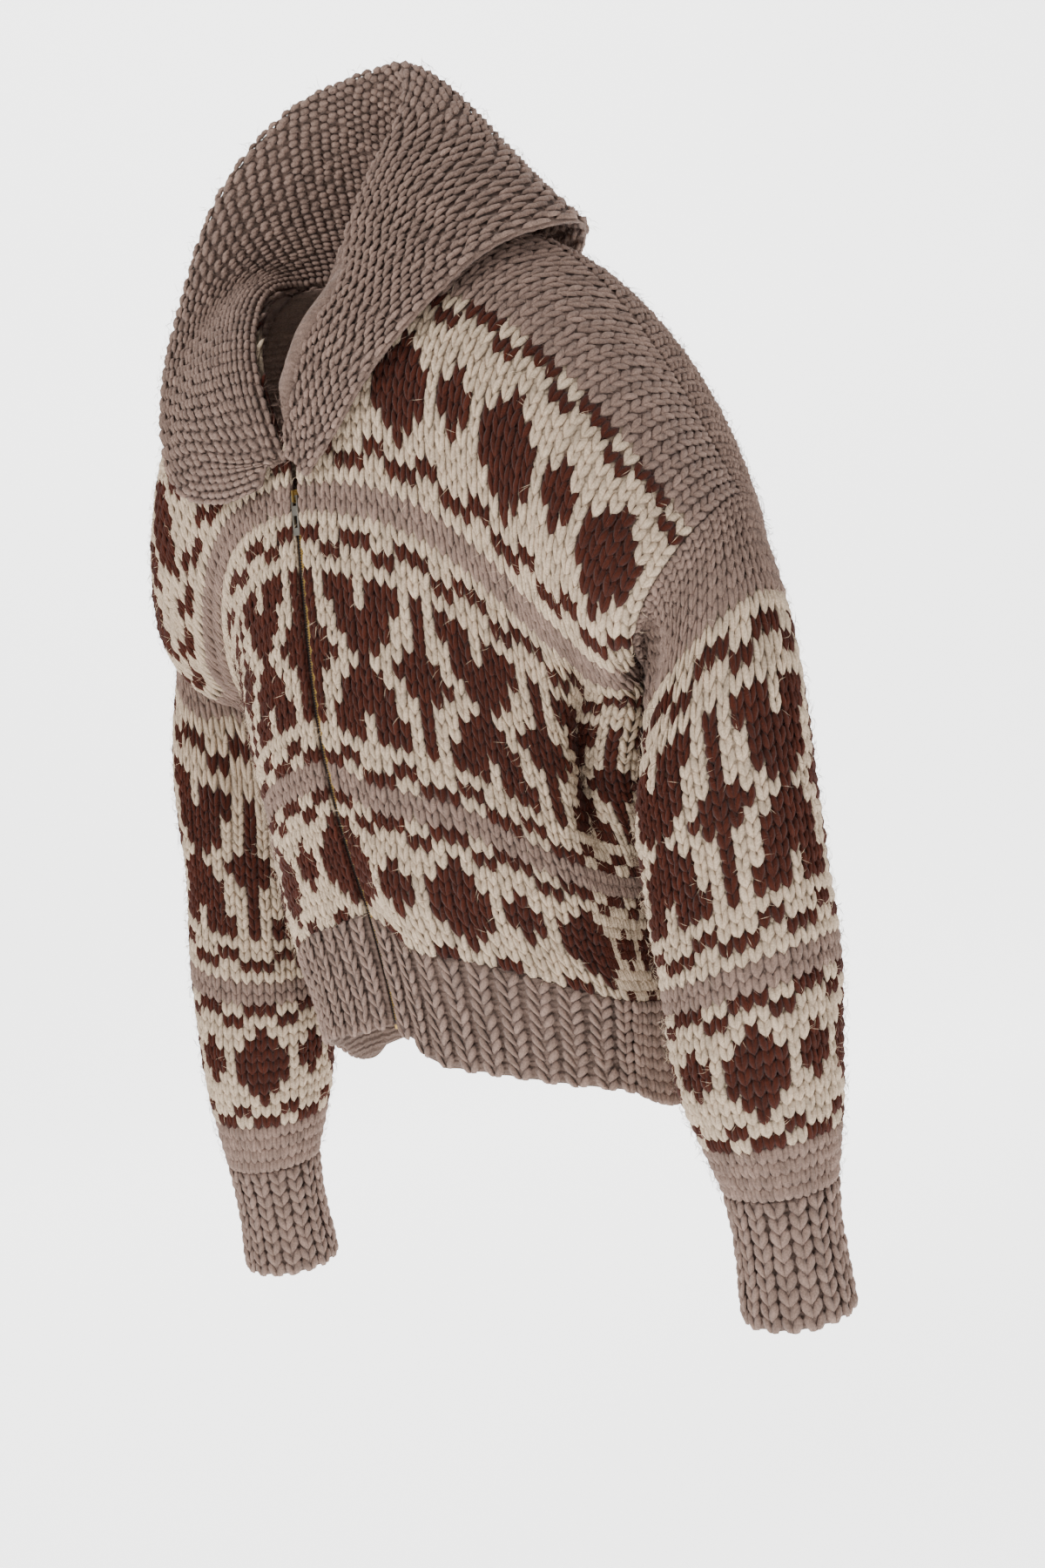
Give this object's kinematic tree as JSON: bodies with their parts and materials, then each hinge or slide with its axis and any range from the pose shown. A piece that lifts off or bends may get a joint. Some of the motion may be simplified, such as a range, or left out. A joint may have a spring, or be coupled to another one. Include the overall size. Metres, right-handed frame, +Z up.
{
  "type": "cardigan",
  "caption": "Chunky knitted zip cardigan with a folded shawl collar, drop shoulders, ribbed hem and cuffs, open and hollow as worn.",
  "frame": {"origin": "midway between the shoulders, level with their highest points beside the neck, where a wearer holds the garment up", "axes": "+Z up; the front faces -Y; +X is the wearer's left"},
  "size_m": [0.7588, 0.2743, 1.0925],
  "materials": {
    "patterned_wool": "hairy super-chunky wool, stocking stitch in taupe, cream and dark brown",
    "taupe_wool": "hairy super-chunky taupe wool, ribbed or moss stitch",
    "zip_tape": "woven cotton tape",
    "zip_brass": "dulled brass",
    "pull_metal": "antique silver plate"
  },
  "bodies": {
    "garment": {"back": "patterned_wool", "front_left": "patterned_wool", "front_right": "patterned_wool", "sleeve_left": "patterned_wool", "sleeve_right": "patterned_wool", "collar": "taupe_wool", "cuff_left": "taupe_wool", "cuff_right": "taupe_wool", "hem_back": "taupe_wool", "hem_left": "taupe_wool", "hem_right": "taupe_wool", "zip_tape_left": "zip_tape", "zip_tape_right": "zip_tape", "zip_chain": "zip_brass", "zip_slider": "zip_brass", "zip_stop": "zip_brass"},
    "pull_tab": {"zip_pull": "pull_metal"}
  },
  "joints": [
    {"name": "pull_tab_hinge", "type": "hinge", "parent": "garment", "child": "pull_tab", "pos_m": [0, -0.12741, -0.183], "axis": [-1, 0, 0], "range_deg": [0, 110]}
  ]
}
